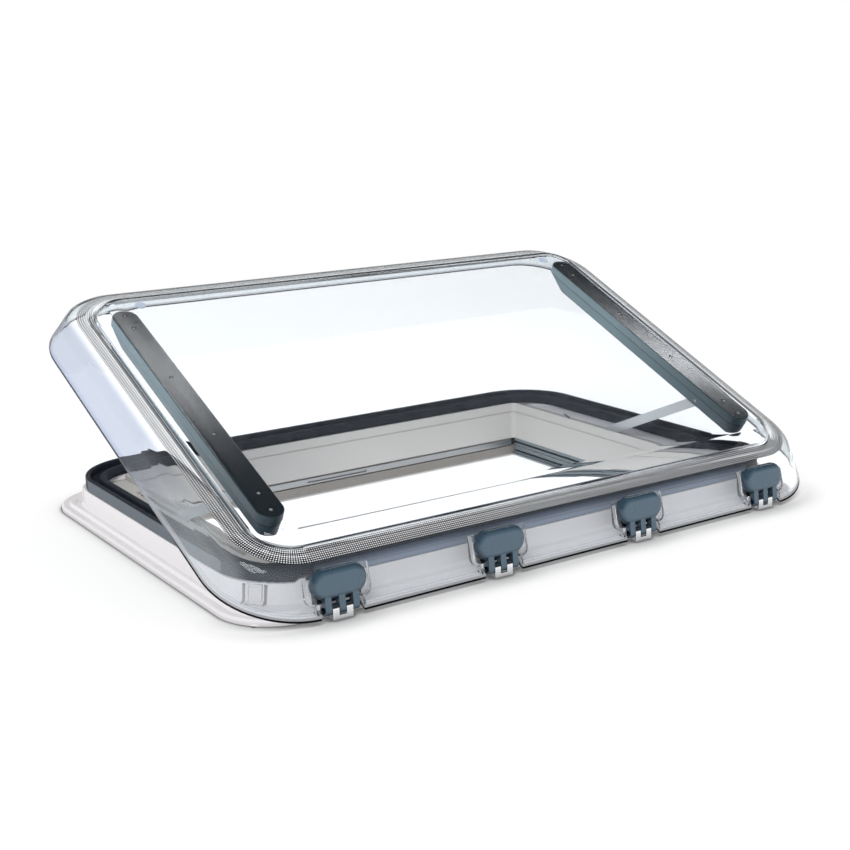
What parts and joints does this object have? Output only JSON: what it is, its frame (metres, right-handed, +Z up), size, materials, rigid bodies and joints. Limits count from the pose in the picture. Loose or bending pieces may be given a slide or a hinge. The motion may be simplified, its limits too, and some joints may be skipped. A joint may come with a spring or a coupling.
{
  "type": "roof window",
  "caption": "Hinged clear double-pane roof window on a moulded frame, with sliding stay arms, rubber seal, inner lining and roller blinds.",
  "frame": {"origin": "middle of the roof cut-out, at the roof's outer surface, where the flange's underside lies", "axes": "+X across the window along the hinge line, +Y from the hinge side to the opening side, +Z up out of the roof"},
  "size_m": [1.035, 0.7311, 0.3951],
  "materials": {
    "frame_white": "moulded, glossy",
    "clip_white": "moulded, ribbed",
    "seal_rubber": "soft extruded rubber",
    "lining_grey": "fine satin",
    "ceiling_white": "fine satin",
    "track_grey": "satin",
    "rail_slate": "satin",
    "cassette_grey": "satin",
    "bar_grey": "anodised",
    "screen_mesh": "fine woven mesh",
    "blackout_cloth": "woven",
    "tube_metal": "plain",
    "hook_wire": "bright wire",
    "bracket_chrome": "bright",
    "screw_steel": "bright",
    "pane_clear": "clear moulded acrylic",
    "plug_clear": "clear",
    "housing_slate": "satin",
    "cover_slate": "satin",
    "plate_black": "ribbed",
    "pin_black": "blackened",
    "arm_grey": "satin",
    "roller_white": "plain"
  },
  "bodies": {
    "frame": {"outer_frame": "frame_white", "corner_clips": "clip_white", "rubber_seal": "seal_rubber", "inner_lining": "lining_grey", "ceiling_frame": "ceiling_white", "frame_screws": "screw_steel", "side_track_right": "track_grey", "side_track_left": "track_grey", "cable_hooks": "hook_wire", "blind_rail_right": "rail_slate", "blind_rail_left": "rail_slate", "screen_cassette": "cassette_grey", "blind_cassette": "cassette_grey", "screen_roll": "screen_mesh", "blind_roll": "blackout_cloth", "roller_tubes": "tube_metal", "hinge_brackets": "bracket_chrome", "bracket_screws": "screw_steel"},
    "screen_bar": {"screen_pull_bar": "bar_grey"},
    "blind_bar": {"blind_pull_bar": "bar_grey"},
    "lid": {"outer_pane": "pane_clear", "inner_pane": "pane_clear", "vent_plugs": "plug_clear", "arm_base_right": "housing_slate", "arm_base_left": "housing_slate", "arm_cover_right": "housing_slate", "arm_cover_left": "housing_slate", "housing_screws": "screw_steel", "hinge_covers": "cover_slate", "hinge_plates": "plate_black", "hinge_bolts": "screw_steel", "hinge_pins": "pin_black", "arm_pivots": "screw_steel"},
    "arm_right": {"stay_arm_right": "arm_grey", "roller_axle_right": "screw_steel", "guide_roller_right": "roller_white"},
    "arm_left": {"stay_arm_left": "arm_grey", "roller_axle_left": "screw_steel", "guide_roller_left": "roller_white"}
  },
  "joints": [
    {"name": "lid_hinge", "type": "hinge", "parent": "frame", "child": "lid", "pos_m": [0, -0.3615, 0.014], "axis": [1, 0, 0], "range_deg": [-23.32, 16.68]},
    {"name": "arm_right_pivot", "type": "hinge", "parent": "lid", "child": "arm_right", "pos_m": [0.406, -0.18493, 0.12932], "axis": [1, 0, 0], "range_deg": [-29, 40.5]},
    {"name": "arm_left_pivot", "type": "hinge", "parent": "lid", "child": "arm_left", "pos_m": [-0.406, -0.18493, 0.12932], "axis": [1, 0, 0], "range_deg": [-29, 40.5]},
    {"name": "screen_slide", "type": "slide", "parent": "frame", "child": "screen_bar", "axis": [0, -1, 0], "range_m": [0, 0.56]},
    {"name": "blind_slide", "type": "slide", "parent": "frame", "child": "blind_bar", "axis": [0, 1, 0], "range_m": [0, 0.56]}
  ],
  "couplings": [
    {"joint": "arm_right_pivot", "follows": "lid_hinge", "ratio": -1.725},
    {"joint": "arm_left_pivot", "follows": "lid_hinge", "ratio": -1.725}
  ]
}
